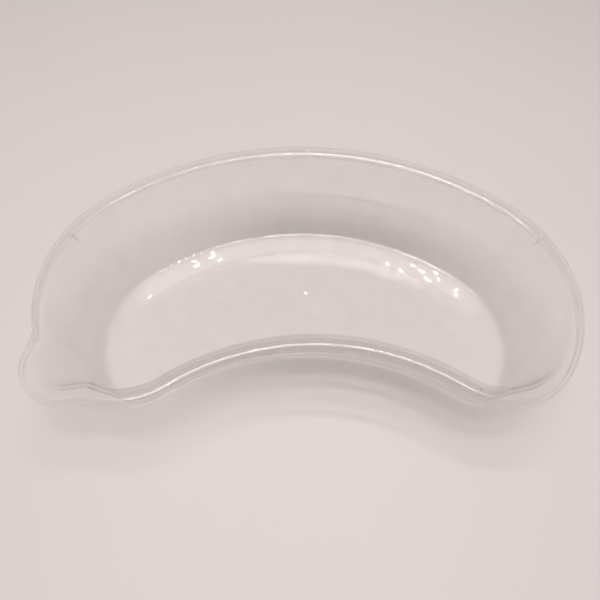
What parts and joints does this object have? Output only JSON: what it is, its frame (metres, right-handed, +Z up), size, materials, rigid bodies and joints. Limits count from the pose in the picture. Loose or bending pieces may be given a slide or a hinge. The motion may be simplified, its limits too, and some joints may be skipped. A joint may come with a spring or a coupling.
{
  "type": "kidney dish",
  "caption": "Clear kidney-shaped basin with sloping walls, a turned-down rim and a pouring lip at one end, held against the body or stood at a bedside.",
  "frame": {"origin": "on the plane that the dish stands on, under the centre of its bounding box", "axes": "+X along the dish's length, away from the pouring lip; +Y towards the convex back; +Z up, out of the open top"},
  "size_m": [0.25, 0.149, 0.05],
  "materials": {
    "polypropylene": "glossy, clear with a slight milky haze"
  },
  "bodies": {
    "root": {"kidney_dish": "polypropylene"}
  },
  "joints": []
}
